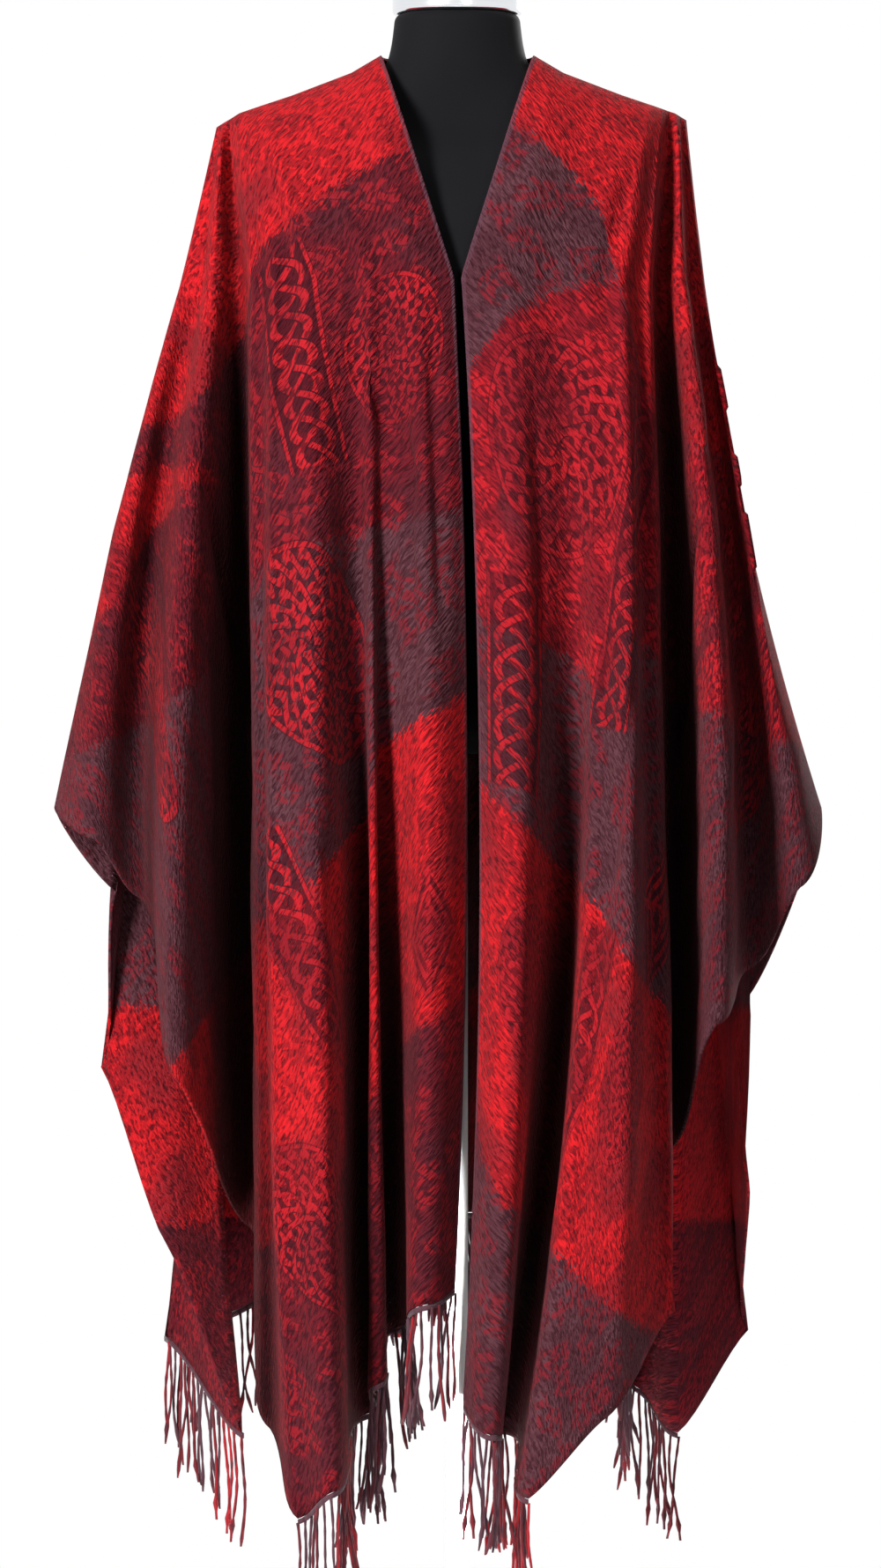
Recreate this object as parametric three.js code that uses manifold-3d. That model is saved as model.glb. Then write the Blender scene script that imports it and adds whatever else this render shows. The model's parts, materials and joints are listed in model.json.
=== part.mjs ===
// A fringed ruana (an oblong shawl slit up its centre front) hanging on a limbless dress form.
// Millimetres, +Z up, the wearer's front towards -Y, the viewer's right towards +X.
import * as THREE from "three";
import Module from "manifold-3d";

// ---- sizes -----------------------------------------------------------------
const CLOTH = 2.2; // thickness of the brushed cloth
const SEAM = 0.4; // gap where two pieces of cloth meet
const CHEST = 1255; // height of the foot of the V neck, where the cloth starts to hang
const NECK_SIDE = 65; // half width of the neck where the cloth meets it
const TIP = 205; // half width over the shoulder tips
const NECK_TOP = 1486; // height of the neck's flat top
const FORM_FOOT = 858; // height of the torso's lowest point
const ROWS = 11; // rows of facets from the shoulder fold down to the hem
const FRINGE = 95; // length of the fringe below the hem
const STRAND = 1.2; // radius of a twisted strand
const PITCH = 20; // distance between strands along the hem
const STRIP = 5; // height of the narrow strip that holds the strands
const BASE_R = 160;
const BASE_H = 9;
const POLE_R = 9;

// Height of the shoulder fold at a distance from the centre plane.
const ridge = [
  { out: 0, high: 1456 },
  { out: 65, high: 1452 },
  { out: 90, high: 1437 },
  { out: 140, high: 1418 },
  { out: 185, high: 1403 },
  { out: 205, high: 1391 },
  { out: 215, high: 1380 },
];

// Fold lines of each panel, from the slit or the centre back out to the shoulder fold.
// top: where the line leaves the shoulder fold. chest, mid and low: where it is at chest
// height, half way down and at the cloth's edge, as distance out and distance in front of
// (or behind) the shoulder line. z: height of the edge. cols: facets up to the next line.
const frontLeft = [
  { line: "slit", top: 65, chest: [3, 118], mid: [-8, 128], low: [2, 140], z: 413, cols: 3 },
  { line: "chest lobe", top: 85, chest: [30, 124], mid: [24, 160], low: [28, 180], z: 403, cols: 4 },
  { line: "centre valley", top: 108, chest: [62, 117], mid: [63, 100], low: [56, 50], z: 372, cols: 4 },
  { line: "hidden lobe", top: 128, chest: [74, 119], mid: [70, 134], low: [66, 145], z: 335, cols: 4 },
  { line: "inner valley", top: 146, chest: [86, 114], mid: [79, 98], low: [77, 45], z: 300, cols: 4 },
  { line: "front lobe", top: 165, chest: [122, 114], mid: [118, 178], low: [104, 205], z: 251, cols: 2 },
  { line: "corner", top: 180, chest: [150, 100], mid: [152, 158], low: [132, 172], z: 226, cols: 2 },
  { line: "lobe edge", top: 188, chest: [168, 84], mid: [163, 118], low: [160, 112], z: 298, cols: 4 },
  { line: "side valley", top: 194, chest: [184, 46], mid: [181, 18], low: [176, 15], z: 455, cols: 4 },
  { line: "wing strip", top: 199, chest: [206, 68], mid: [232, 126], low: [235, 140], z: 588, cols: 4 },
  { line: "wing dip", top: 202, chest: [218, 44], mid: [262, 42], low: [268, 42], z: 735, cols: 3 },
  { line: "wing face", top: 204, chest: [230, 42], mid: [282, 72], low: [306, 76], z: 786, cols: 3 },
  { line: "shoulder fold", top: 205, chest: [235, 0], mid: [293, 0], low: [343, 0], z: 813, cols: 0 },
];
const frontRight = [
  { line: "slit", top: 65, chest: [3, 118], mid: [18, 130], low: [4, 145], z: 318, cols: 3 },
  { line: "chest lobe", top: 85, chest: [40, 124], mid: [50, 168], low: [26, 190], z: 297, cols: 5 },
  { line: "soft valley", top: 115, chest: [82, 114], mid: [93, 98], low: [42, 20], z: 285, cols: 5 },
  { line: "corner", top: 148, chest: [110, 114], mid: [115, 158], low: [58, 178], z: 243, cols: 3 },
  { line: "front lobe", top: 164, chest: [134, 110], mid: [140, 176], low: [124, 180], z: 311, cols: 3 },
  { line: "lobe edge", top: 174, chest: [158, 88], mid: [163, 122], low: [181, 122], z: 393, cols: 4 },
  { line: "side valley", top: 180, chest: [172, 46], mid: [182, 18], low: [178, 16], z: 520, cols: 4 },
  { line: "wing strip", top: 186, chest: [188, 66], mid: [214, 124], low: [216, 132], z: 632, cols: 4 },
  { line: "wing dip", top: 190, chest: [198, 42], mid: [238, 40], low: [250, 38], z: 677, cols: 3 },
  { line: "wing face", top: 193, chest: [206, 38], mid: [252, 70], low: [288, 74], z: 745, cols: 3 },
  { line: "shoulder fold", top: 195, chest: [210, 0], mid: [250, 0], low: [310, 0], z: 812, cols: 0 },
];
const backLeft = [
  { line: "centre", top: 0, chest: [0, 120], mid: [0, 104], low: [0, 80], z: 462, cols: 3 },
  { line: "first lobe", top: 26, chest: [34, 124], mid: [34, 172], low: [36, 200], z: 456, cols: 4 },
  { line: "first valley", top: 50, chest: [60, 116], mid: [62, 100], low: [66, 62], z: 442, cols: 4 },
  { line: "second lobe", top: 80, chest: [88, 120], mid: [92, 172], low: [98, 204], z: 420, cols: 4 },
  { line: "second valley", top: 115, chest: [114, 108], mid: [120, 92], low: [128, 62], z: 400, cols: 4 },
  { line: "third lobe", top: 145, chest: [138, 106], mid: [150, 168], low: [160, 200], z: 384, cols: 4 },
  { line: "third valley", top: 162, chest: [160, 88], mid: [178, 132], low: [208, 168], z: 366, cols: 3 },
  { line: "hem fold", top: 174, chest: [172, 80], mid: [204, 142], low: [256, 150], z: 350, cols: 4 },
  { line: "corner", top: 184, chest: [184, 68], mid: [214, 96], low: [186, 76], z: 272, cols: 4 },
  { line: "selvedge turn", top: 192, chest: [198, 56], mid: [236, 88], low: [250, 48], z: 437, cols: 4 },
  { line: "wing back", top: 199, chest: [212, 50], mid: [262, 64], low: [307, 74], z: 588, cols: 4 },
  { line: "wing edge", top: 203, chest: [226, 34], mid: [278, 38], low: [293, 34], z: 740, cols: 4 },
  { line: "shoulder fold", top: 205, chest: [235, 0], mid: [293, 0], low: [343, 0], z: 813, cols: 0 },
];
const backRight = [
  { line: "centre", top: 0, chest: [0, 120], mid: [0, 104], low: [0, 80], z: 462, cols: 3 },
  { line: "first lobe", top: 28, chest: [32, 123], mid: [36, 166], low: [42, 194], z: 454, cols: 4 },
  { line: "first valley", top: 52, chest: [60, 115], mid: [66, 98], low: [74, 60], z: 436, cols: 4 },
  { line: "second lobe", top: 84, chest: [90, 120], mid: [98, 176], low: [106, 208], z: 410, cols: 4 },
  { line: "second valley", top: 116, chest: [118, 106], mid: [126, 92], low: [132, 66], z: 380, cols: 4 },
  { line: "hem lobe", top: 140, chest: [140, 104], mid: [158, 160], low: [158, 178], z: 302, cols: 3 },
  { line: "corner", top: 160, chest: [160, 84], mid: [186, 108], low: [192, 118], z: 268, cols: 4 },
  { line: "selvedge foot", top: 174, chest: [174, 76], mid: [208, 124], low: [254, 132], z: 356, cols: 4 },
  { line: "selvedge", top: 184, chest: [188, 54], mid: [224, 64], low: [247, 52], z: 505, cols: 4 },
  { line: "wing back", top: 190, chest: [200, 46], mid: [246, 72], low: [252, 66], z: 650, cols: 4 },
  { line: "shoulder fold", top: 195, chest: [210, 0], mid: [250, 0], low: [310, 0], z: 812, cols: 0 },
];

// Sections of the torso and neck: height, half width, half depth.
const torso = [
  { z: 858, w: 96, d: 58 },
  { z: 868, w: 128, d: 78 },
  { z: 892, w: 140, d: 88 },
  { z: 950, w: 140, d: 90 },
  { z: 1080, w: 118, d: 78 },
  { z: 1170, w: 138, d: 92 },
  { z: 1255, w: 158, d: 106 },
  { z: 1310, w: 172, d: 98 },
  { z: 1350, w: 184, d: 80 },
  { z: 1376, w: 184, d: 56 },
  { z: 1392, w: 150, d: 50 },
  { z: 1406, w: 112, d: 49 },
  { z: 1422, w: 78, d: 50 },
  { z: 1440, w: 62, d: 51 },
  { z: 1462, w: 56, d: 51 },
  { z: 1486, w: 55, d: 51 },
];

// ---- small helpers -----------------------------------------------------------
const lerp = (a, b, t) => a + (b - a) * t;

function tableAt(rows, key, value, x) {
  for (let i = 1; i < rows.length; i++) {
    const a = rows[i - 1];
    const b = rows[i];
    if (x <= b[key]) return lerp(a[value], b[value], Math.max(0, (x - a[key]) / (b[key] - a[key])));
  }
  return rows[rows.length - 1][value];
}

// Half depth of the torso at a distance out and a height, 0 beside it.
function torsoDepth(out, z) {
  if (z < FORM_FOOT || z > NECK_TOP) return 0;
  const w = tableAt(torso, "z", "w", z);
  const d = tableAt(torso, "z", "d", z);
  const k = Math.abs(out) / w;
  return k >= 1 ? 0 : d * Math.pow(1 - Math.pow(k, 2.3), 1 / 2.3);
}

// ---- cloth -------------------------------------------------------------------
// Where a fold line is at w, from 0 on the shoulder fold to 1 at the cloth's edge.
// It rounds the shoulder on a quarter ellipse, then hangs through its mid and low points.
const OVER = 0.3;
function onLine(row, w) {
  const napeDepth = row.top < NECK_SIDE ? 64 * Math.sqrt(1 - (row.top / NECK_SIDE) ** 2) : 0;
  const highTop = tableAt(ridge, "out", "high", row.top);
  if (w <= OVER) {
    const turn = ((w / OVER) * Math.PI) / 2;
    return {
      out: lerp(row.chest[0], row.top, Math.cos(turn)),
      fore: napeDepth + (row.chest[1] - napeDepth) * Math.sin(turn),
      z: CHEST + (highTop - CHEST) * Math.cos(turn),
    };
  }
  const t = (w - OVER) / (1 - OVER);
  const bend = (a, m, b) => a * (1 - t) * (1 - 2 * t) + m * 4 * t * (1 - t) + b * t * (2 * t - 1);
  return {
    out: bend(row.chest[0], row.mid[0], row.low[0]),
    fore: bend(row.chest[1], row.mid[1], row.low[1]),
    z: lerp(CHEST, row.z, t),
  };
}

// A point of the panel between two fold lines: the plan runs level at each line and
// swings across between them, so a lobe is round and a valley is narrow.
function between(a, b, t, first, last) {
  const span = Math.hypot(b.out - a.out, b.fore - a.fore);
  const sweep = Math.min(0.9 * span, 30 + 0.35 * span) * Math.sign(b.out - a.out);
  const h0 = t * (1 - t) * (1 - t);
  const h1 = -t * t * (1 - t);
  const s = t * t * (3 - 2 * t);
  const sa = first ? 0.5 * (b.out - a.out) : sweep;
  const sb = last ? 0 : sweep;
  const fa = first ? 0.5 * (b.fore - a.fore) : 0;
  const fb = last ? 1.3 * (b.fore - a.fore) : 0;
  return {
    out: lerp(a.out, b.out, s) + h0 * sa + h1 * sb,
    fore: lerp(a.fore, b.fore, s) + h0 * fa + h1 * fb,
    z: lerp(a.z, b.z, lerp(t, s, 0.5)),
  };
}

// Near the shoulder the folds haven't begun: a point there lies on its own plain fold line.
function shoulderBlend(rowA, rowB, t, w, folded) {
  const mix = (a, b) => lerp(a, b, t);
  const pair = (a, b) => [mix(a[0], b[0]), mix(a[1], b[1])];
  const plain = onLine(
    {
      top: mix(rowA.top, rowB.top),
      chest: pair(rowA.chest, rowB.chest),
      mid: pair(rowA.mid, rowB.mid),
      low: pair(rowA.low, rowB.low),
      z: mix(rowA.z, rowB.z),
    },
    w,
  );
  const k = Math.min(1, w / OVER) ** 2;
  return {
    out: lerp(plain.out, folded.out, k),
    fore: lerp(plain.fore, folded.fore, k),
    z: lerp(plain.z, folded.z, k),
  };
}

// The rows and columns of points on the panel's inner face. side is -1 on the viewer's
// left, face is -1 in front and 1 behind.
function sheetPoints(table, side, face) {
  const columns = [];
  table.forEach((row, i) => {
    const steps = row.cols || 1;
    for (let k = 0; k < steps; k++) columns.push({ i, t: k / steps });
  });
  const points = [];
  for (let r = 0; r <= ROWS; r++) {
    const w = Math.pow(r / ROWS, 1.15);
    points.push(
      columns.map(({ i, t }) => {
        const a = onLine(table[i], w);
        const b = table[i + 1] ? onLine(table[i + 1], w) : a;
        const p = t ? shoulderBlend(table[i], table[i + 1], t, w, between(a, b, t, i === 0, i === table.length - 2)) : a;
        const clear = torsoDepth(p.out, p.z) + 5;
        const meets = r === 0 || i === table.length - 1;
        const fore = meets ? p.fore : Math.max(p.fore, clear > 5 ? clear : 0, 1);
        return new THREE.Vector3(side * p.out, face * (fore + SEAM / 2), p.z);
      }),
    );
  }
  return points;
}

// Outward directions at every point, level with the seam where two panels meet.
function directions(points, outside, seamTop, seamSide) {
  const rows = points.length;
  const cols = points[0].length;
  return points.map((line, r) =>
    line.map((p, c) => {
      const up = points[Math.max(r - 1, 0)][c];
      const down = points[Math.min(r + 1, rows - 1)][c];
      const left = line[Math.max(c - 1, 0)];
      const right = line[Math.min(c + 1, cols - 1)];
      const n = new THREE.Vector3()
        .subVectors(right, left)
        .cross(new THREE.Vector3().subVectors(up, down))
        .multiplyScalar(outside);
      if (seamTop(r, c) || seamSide(r, c)) n.y = 0;
      return n.normalize();
    }),
  );
}

// A closed wall from a grid of points and the directions it is thick along.
function wall(points, normals, thick) {
  const rows = points.length;
  const cols = points[0].length;
  const verts = [];
  for (const line of points) for (const p of line) verts.push(p.x, p.y, p.z);
  points.forEach((line, r) =>
    line.forEach((p, c) => {
      const q = p.clone().addScaledVector(normals[r][c], thick);
      verts.push(q.x, q.y, q.z);
    }),
  );
  const at = (layer, r, c) => layer * rows * cols + r * cols + c;
  const index = [];
  const quad = (a, b, c, d) => index.push(a, b, c, a, c, d);
  for (let r = 0; r < rows - 1; r++)
    for (let c = 0; c < cols - 1; c++) {
      quad(at(0, r, c), at(0, r, c + 1), at(0, r + 1, c + 1), at(0, r + 1, c));
      quad(at(1, r, c), at(1, r + 1, c), at(1, r + 1, c + 1), at(1, r, c + 1));
    }
  for (let c = 0; c < cols - 1; c++) {
    quad(at(1, 0, c), at(1, 0, c + 1), at(0, 0, c + 1), at(0, 0, c));
    quad(at(0, rows - 1, c + 1), at(1, rows - 1, c + 1), at(1, rows - 1, c), at(0, rows - 1, c));
  }
  for (let r = 0; r < rows - 1; r++) {
    quad(at(0, r + 1, 0), at(1, r + 1, 0), at(1, r, 0), at(0, r, 0));
    quad(at(0, r, cols - 1), at(1, r, cols - 1), at(1, r + 1, cols - 1), at(0, r + 1, cols - 1));
  }
  return facedOut(verts, index);
}

// The geometry, turned round if its volume came out negative.
function facedOut(verts, index) {
  let volume = 0;
  const v = (i) => new THREE.Vector3(verts[3 * i], verts[3 * i + 1], verts[3 * i + 2]);
  for (let i = 0; i < index.length; i += 3)
    volume += v(index[i]).dot(v(index[i + 1]).cross(v(index[i + 2])));
  if (volume < 0) for (let i = 0; i < index.length; i += 3) index.splice(i, 2, index[i + 1], index[i]);
  const rounded = verts.map((x) => Math.round(x * 1e4) / 1e4);
  const g = new THREE.BufferGeometry();
  g.setAttribute("position", new THREE.Float32BufferAttribute(rounded, 3));
  g.setIndex(index);
  return g;
}

function panel(table, side, face) {
  const points = sheetPoints(table, side, face);
  const last = points[0].length - 1;
  const seamTop = (r) => r === 0;
  const seamSide = (r, c) => c === last;
  return { points, normals: directions(points, side * face, seamTop, seamSide) };
}

const frontL = panel(frontLeft, -1, -1);
const frontR = panel(frontRight, 1, -1);
const backL = panel(backLeft, -1, 1);
const backR = panel(backRight, 1, 1);

// The back is one piece: its left half, mirrored in order, joins its right half.
const backPoints = backL.points.map((line, r) => [...line].reverse().concat(backR.points[r].slice(1)));
const backEnd = backPoints[0].length - 1;
const backNormals = directions(
  backPoints,
  1,
  (r, c) => r === 0 && Math.abs(backPoints[0][c].x) > NECK_SIDE - 1,
  (r, c) => c === 0 || c === backEnd,
);

// ---- fringe ------------------------------------------------------------------
// The hem of a panel runs from its first column to the column of its corner.
function hemOf(table, points) {
  let column = 0;
  for (const row of table) {
    if (row.line === "corner") break;
    column += row.cols;
  }
  return points[points.length - 1].slice(0, column + 1);
}

const wasm = await Module();
wasm.setup();
const solidOf = (g) =>
  new wasm.Manifold(
    new wasm.Mesh({
      numProp: 3,
      vertProperties: new Float32Array(g.attributes.position.array),
      triVerts: new Uint32Array(g.index.array),
    }),
  );

// One three sided strand from a root on the strip down to its point.
function strand(root, lean, long, turn) {
  const verts = [];
  const rings = [
    { down: -0.8, r: STRAND },
    { down: long, r: STRAND * 0.8 },
  ];
  for (const ring of rings) {
    const part = Math.max(ring.down, 0) / long;
    for (let k = 0; k < 3; k++) {
      const a = turn + (k * 2 * Math.PI) / 3;
      verts.push(
        root.x + lean.x * part + ring.r * Math.cos(a),
        root.y + lean.y * part + ring.r * Math.sin(a),
        root.z - ring.down,
      );
    }
  }
  const index = [0, 1, 2, 3, 5, 4];
  for (let k = 0; k < 3; k++) {
    const a = k;
    const b = (k + 1) % 3;
    index.push(a, a + 3, b, b, a + 3, b + 3);
  }
  return facedOut(verts, index);
}

// The fringe of one hem: a narrow strip just below the cloth's edge, with strands fused in.
function fringe(hem, normals, seed) {
  const down = new THREE.Vector3(0, 0, -1);
  const strip = [0, 1].map((k) =>
    hem.map((p) => p.clone().addScaledVector(down, SEAM + k * STRIP)),
  );
  const solids = [solidOf(wall(strip, [normals, normals], CLOTH))];
  let walked = PITCH * 0.4;
  let count = 0;
  for (let c = 0; c < hem.length - 1; c++) {
    const a = strip[1][c];
    const b = strip[1][c + 1];
    const span = a.distanceTo(b);
    while (walked < span - 2) {
      const root = a.clone().lerp(b, walked / span);
      const n = normals[c].clone().lerp(normals[c + 1], walked / span);
      root.addScaledVector(n, CLOTH / 2);
      const lean = {
        x: 5 * Math.sin(seed + 2.4 * count),
        y: 5 * Math.cos(seed + 1.7 * count),
      };
      const long = FRINGE - STRIP + 6 * Math.sin(seed * 3 + 1.3 * count);
      solids.push(solidOf(strand(root, lean, long, seed + count)));
      walked += PITCH;
      count++;
    }
    walked -= span;
    if (walked < 2) walked = 2;
  }
  const whole = wasm.Manifold.union(solids).simplify(0.01);
  const m = whole.getMesh();
  const g = new THREE.BufferGeometry();
  g.setAttribute("position", new THREE.BufferAttribute(new Float32Array(m.vertProperties), 3));
  g.setIndex(new THREE.BufferAttribute(new Uint32Array(m.triVerts), 1));
  return { geometry: g, count };
}

// ---- dress form ----------------------------------------------------------------
function lofted(sections, sides, power) {
  const verts = [];
  const index = [];
  for (const s of sections)
    for (let k = 0; k < sides; k++) {
      const a = (k * 2 * Math.PI) / sides;
      const c = Math.cos(a);
      const n = Math.sin(a);
      verts.push(
        s.w * Math.sign(c) * Math.pow(Math.abs(c), 2 / power),
        s.d * Math.sign(n) * Math.pow(Math.abs(n), 2 / power),
        s.z,
      );
    }
  for (let r = 0; r < sections.length - 1; r++)
    for (let k = 0; k < sides; k++) {
      const a = r * sides + k;
      const b = r * sides + ((k + 1) % sides);
      index.push(a, b, b + sides, a, b + sides, a + sides);
    }
  const foot = verts.length / 3;
  verts.push(0, 0, sections[0].z, 0, 0, sections[sections.length - 1].z);
  const top = (sections.length - 1) * sides;
  for (let k = 0; k < sides; k++) {
    index.push(foot, (k + 1) % sides, k);
    index.push(foot + 1, top + k, top + ((k + 1) % sides));
  }
  return facedOut(verts, index);
}

function turned(profile, sides) {
  const g = new THREE.LatheGeometry(profile.map(([r, z]) => new THREE.Vector2(r, z)), sides);
  g.rotateX(Math.PI / 2);
  return g;
}

// ---- the part -------------------------------------------------------------------
const red = new THREE.MeshStandardMaterial({ color: 0x8a1c26, roughness: 0.95 });
const plum = new THREE.MeshStandardMaterial({ color: 0x5e2f3c, roughness: 0.95 });
const black = new THREE.MeshStandardMaterial({ color: 0x1c1c20, roughness: 0.8 });
const chrome = new THREE.MeshStandardMaterial({ color: 0xc8ccd0, roughness: 0.15, metalness: 1 });
const white = new THREE.MeshStandardMaterial({ color: 0xe8e8e6, roughness: 0.5 });

const group = new THREE.Group();
function add(name, geometry, material) {
  const mesh = new THREE.Mesh(geometry, material);
  mesh.name = name;
  group.add(mesh);
}

add("ruana_front_left", wall(frontL.points, frontL.normals, CLOTH), red);
add("ruana_front_right", wall(frontR.points, frontR.normals, CLOTH), red);
add("ruana_back", wall(backPoints, backNormals, CLOTH), red);

const hems = [
  { name: "fringe_front_left", table: frontLeft, side: frontL, seed: 0.3 },
  { name: "fringe_front_right", table: frontRight, side: frontR, seed: 1.1 },
  { name: "fringe_back_left", table: backLeft, side: backL, seed: 2.2 },
  { name: "fringe_back_right", table: backRight, side: backR, seed: 3.5 },
];
for (const hem of hems) {
  const line = hemOf(hem.table, hem.side.points);
  const normals = hem.side.normals[ROWS].slice(0, line.length);
  // The back's columns run from left to right, so its left hem is taken that way too.
  if (hem.table === backLeft) {
    line.reverse();
    normals.reverse();
  }
  add(hem.name, fringe(line, normals, hem.seed).geometry, plum);
}

add("form_body", lofted(torso, 24, 2.3), black);
add("form_cap", turned([[0, 1486.3], [55, 1486.3], [55.5, 1490], [55.5, 1508], [50, 1513], [0, 1514]], 32), chrome);
add("form_pole", turned([[0, BASE_H + 0.3], [POLE_R, BASE_H + 0.3], [POLE_R, FORM_FOOT - 0.3], [0, FORM_FOOT - 0.3]], 24), white);
add("form_base", turned([[0, 0], [BASE_R, 0], [BASE_R, BASE_H - 3], [BASE_R - 4, BASE_H], [0, BASE_H]], 48), white);

// The origin is on the floor under the middle of the whole thing's outline.
const outline = new THREE.Box3().setFromObject(group);
const middle = outline.getCenter(new THREE.Vector3());
for (const mesh of group.children) mesh.geometry.translate(-middle.x, -middle.y, 0);

export default group;
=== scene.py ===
import json
import math
import bpy
import numpy as np
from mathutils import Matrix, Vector, noise

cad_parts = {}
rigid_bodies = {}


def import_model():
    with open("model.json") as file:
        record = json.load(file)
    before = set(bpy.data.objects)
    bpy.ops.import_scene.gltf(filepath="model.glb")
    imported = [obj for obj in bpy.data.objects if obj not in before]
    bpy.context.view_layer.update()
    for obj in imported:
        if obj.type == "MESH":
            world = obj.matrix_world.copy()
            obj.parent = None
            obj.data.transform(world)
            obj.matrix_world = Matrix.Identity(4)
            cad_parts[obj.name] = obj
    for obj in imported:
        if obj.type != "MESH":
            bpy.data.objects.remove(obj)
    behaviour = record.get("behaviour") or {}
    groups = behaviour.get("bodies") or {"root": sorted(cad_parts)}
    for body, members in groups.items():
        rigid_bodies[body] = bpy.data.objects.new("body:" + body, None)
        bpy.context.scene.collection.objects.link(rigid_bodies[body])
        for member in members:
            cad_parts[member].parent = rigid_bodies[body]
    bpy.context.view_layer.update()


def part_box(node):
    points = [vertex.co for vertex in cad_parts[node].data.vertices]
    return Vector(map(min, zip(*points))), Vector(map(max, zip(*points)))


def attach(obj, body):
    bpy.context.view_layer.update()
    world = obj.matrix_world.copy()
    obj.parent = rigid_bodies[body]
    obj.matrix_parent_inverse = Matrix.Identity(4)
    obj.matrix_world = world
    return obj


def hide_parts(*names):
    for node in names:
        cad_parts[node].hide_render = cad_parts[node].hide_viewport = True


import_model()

# ---------------------------------------------------------------------------
# Base plate: a round steel plate in satin white paint that stands on the
# floor. It is turned flat, with a small rounded rim.
# ---------------------------------------------------------------------------
low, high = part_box("form_pole")
CENTRE = Vector(((low[0] + high[0]) / 2, (low[1] + high[1]) / 2, 0.0))


def mesh_piece(name, points, faces, material, smooth=True):
    mesh = bpy.data.meshes.new(name)
    mesh.from_pydata(points, [], faces)
    mesh.materials.append(material)
    for face in mesh.polygons:
        face.use_smooth = smooth
    mesh.update()
    piece = bpy.data.objects.new(name, mesh)
    bpy.context.scene.collection.objects.link(piece)
    return piece


def rounded(profile, radius, steps=4):
    """The profile with each inner corner replaced by a short arc."""
    out = [profile[0]]
    for before, corner, after in zip(profile, profile[1:], profile[2:]):
        a, c, b = Vector(before), Vector(corner), Vector(after)
        cut = min(radius, (a - c).length / 2.1, (b - c).length / 2.1)
        p, q = c + (a - c).normalized() * cut, c + (b - c).normalized() * cut
        for i in range(steps + 1):
            t = i / steps
            out.append(tuple(p * (1 - t) ** 2 + c * 2 * t * (1 - t) + q * t * t))
    return out + [profile[-1]]


def closed_stack(rings, sides):
    """Faces of a stack of rings of points, closed to the first point and to the last one."""
    faces = [(0, 1 + (k + 1) % sides, 1 + k) for k in range(sides)]
    for j in range(rings - 1):
        for k in range(sides):
            a, b = 1 + j * sides + k, 1 + j * sides + (k + 1) % sides
            faces.append((a, b, b + sides, a + sides))
    top, last = 1 + (rings - 1) * sides, 1 + rings * sides
    return faces + [(last, top + k, top + (k + 1) % sides) for k in range(sides)]


def turned(name, profile, material, sides=96):
    """A solid of revolution about the stand's axis; the profile starts and ends on it."""
    points = [(CENTRE.x, CENTRE.y, profile[0][1])]
    for r, z in profile[1:-1]:
        for k in range(sides):
            a = 2 * math.pi * k / sides
            points.append((CENTRE.x + r * math.cos(a), CENTRE.y + r * math.sin(a), z))
    points.append((CENTRE.x, CENTRE.y, profile[-1][1]))
    return mesh_piece(name, points, closed_stack(len(profile) - 2, sides), material)


class Wires:
    """Short calls for the nodes of one material."""

    def __init__(self, name):
        self.material = bpy.data.materials.new(name)
        self.material.use_nodes = True
        self.tree = self.material.node_tree
        self.tree.nodes.clear()
        self.shader = self.tree.nodes.new("ShaderNodeBsdfPrincipled")
        end = self.tree.nodes.new("ShaderNodeOutputMaterial")
        self.tree.links.new(self.shader.outputs[0], end.inputs[0])

    def put(self, socket, value):
        if hasattr(value, "is_output"):
            self.tree.links.new(value, socket)
        elif value is not None:
            socket.default_value = value

    def math(self, how, a, b=None, c=None):
        node = self.tree.nodes.new("ShaderNodeMath")
        node.operation = how
        for socket, value in zip(node.inputs, (a, b, c)):
            self.put(socket, value)
        return node.outputs[0]

    def times(self, a, b):
        return self.math("MULTIPLY", a, b)

    def minus(self, a, b):
        return self.math("SUBTRACT", a, b)

    def scaled(self, value, by, plus):
        return self.math("MULTIPLY_ADD", value, by, plus)

    def blend(self, amount, a, b):
        node = self.tree.nodes.new("ShaderNodeMix")
        node.data_type = "RGBA"
        self.put(node.inputs[0], amount)
        self.put(node.inputs[6], a)
        self.put(node.inputs[7], b)
        return node.outputs[2]

    def noise(self, where, scale, detail=2.0, rough=0.5):
        node = self.tree.nodes.new("ShaderNodeTexNoise")
        self.put(node.inputs["Vector"], where)
        node.inputs["Scale"].default_value = scale
        node.inputs["Detail"].default_value = detail
        node.inputs["Roughness"].default_value = rough
        return node.outputs["Fac"]

    def ramp(self, value, start, end):
        node = self.tree.nodes.new("ShaderNodeMapRange")
        node.interpolation_type = "SMOOTHSTEP"
        self.put(node.inputs[0], value)
        node.inputs[1].default_value = start
        node.inputs[2].default_value = end
        return node.outputs[0]

    def mapping(self, vector, scale=(1, 1, 1), turn=0.0):
        node = self.tree.nodes.new("ShaderNodeMapping")
        self.put(node.inputs[0], vector)
        node.inputs["Rotation"].default_value = (0, 0, turn)
        node.inputs["Scale"].default_value = scale
        return node.outputs[0]

    def place(self):
        return self.tree.nodes.new("ShaderNodeTexCoord").outputs["Object"]

    def attribute(self, name):
        node = self.tree.nodes.new("ShaderNodeAttribute")
        node.attribute_name = name
        return node.outputs["Fac"]

    def bump(self, height, strength, distance):
        node = self.tree.nodes.new("ShaderNodeBump")
        node.inputs["Strength"].default_value = strength
        node.inputs["Distance"].default_value = distance
        self.put(node.inputs["Height"], height)
        self.tree.links.new(node.outputs[0], self.shader.inputs["Normal"])

    def finish(self, colour, roughness, **fixed):
        self.put(self.shader.inputs["Base Color"], colour)
        self.put(self.shader.inputs["Roughness"], roughness)
        for name, value in fixed.items():
            self.shader.inputs[name.replace("_", " ")].default_value = value
        return self.material


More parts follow.
